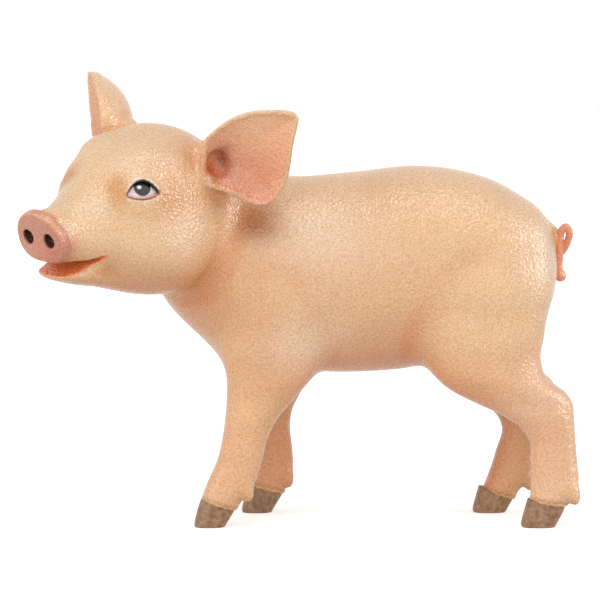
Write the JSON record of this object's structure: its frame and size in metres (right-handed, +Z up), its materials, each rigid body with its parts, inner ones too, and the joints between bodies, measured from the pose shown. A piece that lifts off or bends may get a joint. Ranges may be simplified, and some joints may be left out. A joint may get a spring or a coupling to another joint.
{
  "type": "painted carved wooden piglet figurine",
  "caption": "Standing piglet figurine carved in wood and painted, its head turned to one side, with cupped ears, a parted mouth and a looped tail.",
  "frame": {"origin": "on the floor, under the middle of the figure's bounding box", "axes": "+X from the head end to the tail, -Y towards the pig's left, +Z up"},
  "size_m": [0.1448, 0.078, 0.1182],
  "materials": {
    "painted_skin": "satin hand-painted cream and pink over finely pebbled carved wood",
    "painted_hoof": "satin hand-painted grey-brown with small carved notches",
    "painted_eye": "glossy hand-painted eye"
  },
  "bodies": {
    "root": {"ear_left": "painted_skin", "ear_right": "painted_skin", "eye_left": "painted_eye", "eye_right": "painted_eye", "head": "painted_skin", "hoof_front_left": "painted_hoof", "hoof_front_right": "painted_hoof", "hoof_hind_left": "painted_hoof", "hoof_hind_right": "painted_hoof", "leg_front_left": "painted_skin", "leg_front_right": "painted_skin", "leg_hind_left": "painted_skin", "leg_hind_right": "painted_skin", "lower_jaw": "painted_skin", "neck": "painted_skin", "snout": "painted_skin", "tail_loop": "painted_skin", "tail_tip": "painted_skin", "trunk": "painted_skin"}
  },
  "joints": []
}
